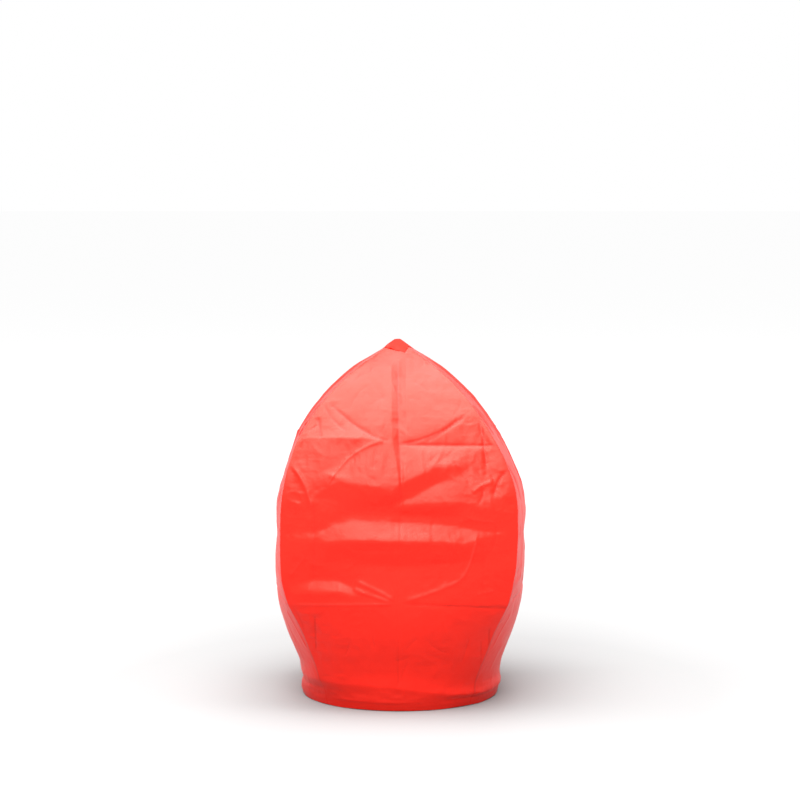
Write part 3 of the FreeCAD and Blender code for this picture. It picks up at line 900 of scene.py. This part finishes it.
def hem_tape():
    """A strip of paper folded under the hoop, its end lapped over its start."""
    path = rounded(TAPE_PATH)
    angles = TAPE_START + np.linspace(0.0, 2.0 * math.pi + TAPE_LAP, TAPE_STEPS + 1)
    cut = np.concatenate([[0.0], np.cumsum(np.hypot(*np.diff(path, axis=0).T))])
    share = (cut / cut[-1])[:, None]
    radius, height = path[:, :1], path[:, 1:]
    ring = angles[None, :]
    inner_leg = smoothstep((TAPE_FOLDS[0] - share) / 0.2)
    outer_leg = smoothstep((share - TAPE_FOLDS[1]) / 0.2)
    circle = ring_place(ring, 30.0, share * 2.0)
    nick = lumps(circle, 1.0, 81)
    pucker = ridges(circle * 1.8, 1.0, 82)
    height = height + inner_leg * smoothstep(1.0 - share / 0.12) * 0.9 * (nick - 0.6)
    height = height + outer_leg * smoothstep((share - 0.88) / 0.12) * 0.3 * (nick - 1.0)
    radius = radius + inner_leg * 0.28 * pucker
    # the lapped end lies outside the start, and its last corner lifts a little
    late = smoothstep((ring - angles[-1] + TAPE_LAP * 1.15) / (TAPE_LAP * 0.15))
    away = np.sign(path[:, :1] - HOOP_MIDDLE)
    side = np.maximum(inner_leg, outer_leg)
    radius = radius + late * away * side * 0.36
    height = height - late * (1.0 - side) * 0.3
    corner = smoothstep((ring - angles[-1] + 0.02) / 0.02) * smoothstep(1.0 - share / 0.25)
    radius = radius - 1.3 * corner
    radius, height = np.broadcast_arrays(radius, height)
    points = np.stack([radius * np.cos(ring), radius * np.sin(ring), height], axis=-1)
    worn_and_shaded = 0.5 * nick
    for fold in TAPE_FOLDS:
        worn_and_shaded = worn_and_shaded + 0.5 * np.exp(-((share - fold) / 0.03) ** 2)
    piece = thin_sheet("hem_tape_paper", points[:, ::-1], TAPE_SHEET,
                       values={"wear_and_crease_shade": worn_and_shaded[:, ::-1], "layers_and_lip_shade": np.full(worn_and_shaded.shape, 0.3)})
    paste(piece, TAPE_PAPER)
    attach(piece, "envelope")
    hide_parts("hem_tape")


hem_tape()


# ---- hoop, wires, ties ----
BAMBOO, WIRE, THREAD, PAD = bamboo_material(), wire_material(), thread_material(), pad_material()
for node, material in (("hoop", BAMBOO), ("cross_wire_a", WIRE), ("cross_wire_b", WIRE),
                       ("cell_ties", WIRE)):
    paste(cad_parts[node], material)

LAP_ANGLE = math.radians(135.0)
BAND_OFFSET = math.radians(5.0)
BAND_WIDTH = math.radians(2.2)
THREAD_RADIUS = 0.215


def thread_loop(offset):
    """Points of one turn round the hoop's section, as (radius, height)."""
    low_r, high_r, low_z, high_z = HOOP_BOX
    corner = HOOP_EDGE
    points = []
    centres = ((high_r - corner, high_z - corner), (low_r + corner, high_z - corner),
               (low_r + corner, low_z + corner), (high_r - corner, low_z + corner))
    for index, (centre_r, centre_z) in enumerate(centres):
        for step in range(5):
            turn = math.radians(90.0 * index + 22.5 * step)
            points.append((centre_r + (corner + offset) * math.cos(turn),
                           centre_z + (corner + offset) * math.sin(turn)))
    return np.array(points)


def hoop_bindings():
    """Two bands of thread, each wound round the hoop's lap, with the loose end tucked along it."""
    bands = []
    loop = thread_loop(THREAD_RADIUS + 0.02)
    turns = int(BAND_WIDTH * HOOP_MIDDLE / (2.05 * THREAD_RADIUS))
    for side in (-1, 1):
        middle = LAP_ANGLE + side * BAND_OFFSET
        count = turns * len(loop)
        share = np.arange(count) / (count - 1.0)
        around = loop[np.arange(count) % len(loop)]
        angle = middle + (share - 0.5) * (BAND_WIDTH - 2.2 * THREAD_RADIUS / HOOP_MIDDLE)
        path = np.stack([around[:, 0] * np.cos(angle), around[:, 0] * np.sin(angle), around[:, 1]],
                        axis=-1)
        bands.append(tube("band", path, THREAD_RADIUS, 6))
        # the loose end lies over the inside of the winding
        span = np.linspace(-0.5, 0.62, 14)
        angle = middle + span * BAND_WIDTH
        radius = 185.65 - 0.25 * np.sin((span + 0.5) * math.pi)
        level = 9.3 + 0.5 * np.sin(span * 7.0)
        path = np.stack([radius * np.cos(angle), radius * np.sin(angle), level], axis=-1)
        bands.append(tube("band_end", path, THREAD_RADIUS * 0.9, 6))
    piece = joined("hoop_binding_thread", bands)
    paste(piece, THREAD)
    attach(piece, "envelope")
    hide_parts("hoop_bindings")


hoop_bindings()

# ---- fuel pads ----
PAD_HALF = 25.6
PAD_CORNER = 4.5
PAD_LAYERS = 11
PAD_POINTS = 160
FACE_RINGS = 16         # rings of points on the pad's top, and on its underside
TIE_HOLES = [(-8.0, -6.0), (-8.0, 6.0), (8.0, -6.0), (8.0, 6.0)]


def square_ring(half, corner, count):
    """Points round a square with rounded corners, evenly spaced."""
    fine = []
    for index in range(4):
        centre = np.array([(1, 1), (-1, 1), (-1, -1), (1, -1)][index]) * (half - corner)
        for step in range(13):
            turn = math.radians(90.0 * index + 7.5 * step)
            fine.append(centre + corner * np.array([math.cos(turn), math.sin(turn)]))
    fine = np.array(fine + fine[:1])
    reached = np.concatenate([[0.0], np.cumsum(np.hypot(*np.diff(fine, axis=0).T))])
    wanted = np.linspace(0.0, reached[-1], count, endpoint=False)
    return np.stack([np.interp(wanted, reached, fine[:, axis]) for axis in (0, 1)], axis=-1)


def fuel_pad(node, turn, seed):
    """A stack of waxed paper squares, their edges a little out of line."""
    low, high = (corner.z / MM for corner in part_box(node))
    pick = np.random.default_rng(seed)
    outline = square_ring(PAD_HALF, PAD_CORNER, PAD_POINTS)
    flat = np.concatenate([outline, np.zeros((PAD_POINTS, 1))], axis=1)
    rings, layer = [], []

    def ring(scale, height, depth, sway=(0.0, 0.0)):
        points = outline * scale + np.array(sway)
        rings.append(np.concatenate([points, np.full((PAD_POINTS, 1), height)], axis=1))
        layer.append(depth)

    for scale in np.linspace(0.04, 0.94, FACE_RINGS):
        ring(scale, low, 0.0)
    step = (high - low) / PAD_LAYERS
    for index in range(PAD_LAYERS):
        sway = pick.normal(0.0, 0.12, 2)
        size = 1.0 + pick.uniform(-0.012, 0.006) - 0.018 * (index in (0, PAD_LAYERS - 1))
        base = low + index * step
        # each sheet's outermost rings are drawn in and marked 1.0, for the painted shade of the grooves
        # between sheets
        for part, inset, depth in ((0.06, 0.022, 1.0), (0.24, 0.002, 0.1), (0.5, 0.0, 0.0),
                                   (0.76, 0.003, 0.1), (0.94, 0.022, 1.0)):
            ring(size - inset, base + part * step, depth, sway)
    for scale in np.linspace(0.94, 0.04, FACE_RINGS):
        ring(scale, high, 0.0)
    rings, depth = np.array(rings), np.array(layer)
    edge = slice(FACE_RINGS, len(rings) - FACE_RINGS)
    wave = lumps(rings * np.array([1.0, 1.0, 1.6]), 6.0, seed)
    rings[edge, :, :2] *= (1.0 + 0.012 * wave[edge])[..., None]
    face = np.ones(len(rings), bool)
    face[edge] = False
    dents = sum(np.exp(-np.hypot(rings[..., 0] - x, rings[..., 1] - y) / 2.4) for x, y in TIE_HOLES)
    relief = 0.35 * lumps(rings, 9.0, seed + 1) + 0.15 * lumps(rings, 3.0, seed + 2) - 0.55 * dents
    middle = (low + high) / 2.0
    rings[face, :, 2] += np.sign(rings[face, :, 2] - middle) * (relief[face] - 0.4)
    cos, sin = math.cos(turn), math.sin(turn)
    rings = np.stack([cos * rings[..., 0] - sin * rings[..., 1],
                      sin * rings[..., 0] + cos * rings[..., 1], rings[..., 2]], axis=-1)
    faces = grid_faces(len(rings), PAD_POINTS, True).tolist()
    last = (len(rings) - 1) * PAD_POINTS
    faces += [list(range(PAD_POINTS))[::-1], list(range(last, last + PAD_POINTS))]
    piece = new_object(node + "_stack", rings.reshape(-1, 3), faces, 50.0)
    add_rest(piece)
    add_values(piece, "layer", np.repeat(depth, PAD_POINTS))
    paste(piece, PAD)
    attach(piece, "fuel_cell")
    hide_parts(node)


fuel_pad("fuel_pad_lower", 0.0, 301)
fuel_pad("fuel_pad_upper", math.radians(5.0), 302)

# ---- floor, lights, camera ----
CAMERA_DISTANCE = 4.4
CAMERA_HEIGHT = 0.956
CAMERA_YAW = math.radians(1.0)
AIM = Vector((0.0, 0.0, 0.5745))
LENS = 101.77


def floor():
    """A plain floor as a disc of rings, wide enough to pass the horizon."""
    sides = 64
    rings = [np.zeros((1, 3))]
    turns = np.linspace(0.0, 2.0 * math.pi, sides, endpoint=False)
    sizes = [200.0, 400.0, 1000.0, 3000.0, 12000.0, 60000.0, 300000.0]
    for size in sizes:
        rings.append(ring_place(turns, size))
    vertices = np.concatenate(rings)
    faces = [[0, 1 + index, 1 + (index + 1) % sides] for index in range(sides)]
    faces += grid_faces(len(sizes), sides, True, 1, True).tolist()
    piece = new_object("floor", vertices, faces)
    piece.location.z = -0.0002
    paste(piece, floor_material())


floor()


def softbox(name, place, aim, size, power):
    light = bpy.data.lights.new(name, "AREA")
    light.shape = "RECTANGLE"
    light.size, light.size_y = size
    light.energy = power
    item = bpy.data.objects.new(name, light)
    item.location = place
    item.rotation_euler = (Vector(aim) - Vector(place)).to_track_quat("-Z", "Y").to_euler()
    bpy.context.scene.collection.objects.link(item)


softbox("ceiling", (-0.2, -0.5, 3.1), (0.0, -0.4, 0.4), (2.8, 3.3), 310.0)
softbox("front", (-0.25, -3.3, 2.75), (0.0, 0.0, 0.45), (2.8, 1.7), 112.0)

world = bpy.data.worlds.new("studio")
world.use_nodes = True
world.node_tree.nodes["Background"].inputs["Color"].default_value = rgb(1.0, 1.0, 1.0)
world.node_tree.nodes["Background"].inputs["Strength"].default_value = 1.0
scene = bpy.context.scene
scene.world = world
scene.view_settings.view_transform = "Standard"

lens = bpy.data.cameras.new("camera")
lens.lens = LENS
lens.sensor_width = 36.0
lens.clip_end = 1000.0
camera = bpy.data.objects.new("camera", lens)
camera.location = (CAMERA_DISTANCE * math.sin(CAMERA_YAW), -CAMERA_DISTANCE * math.cos(CAMERA_YAW),
                   CAMERA_HEIGHT)
camera.rotation_euler = (AIM - camera.location).to_track_quat("-Z", "Y").to_euler()
scene.collection.objects.link(camera)
scene.camera = camera
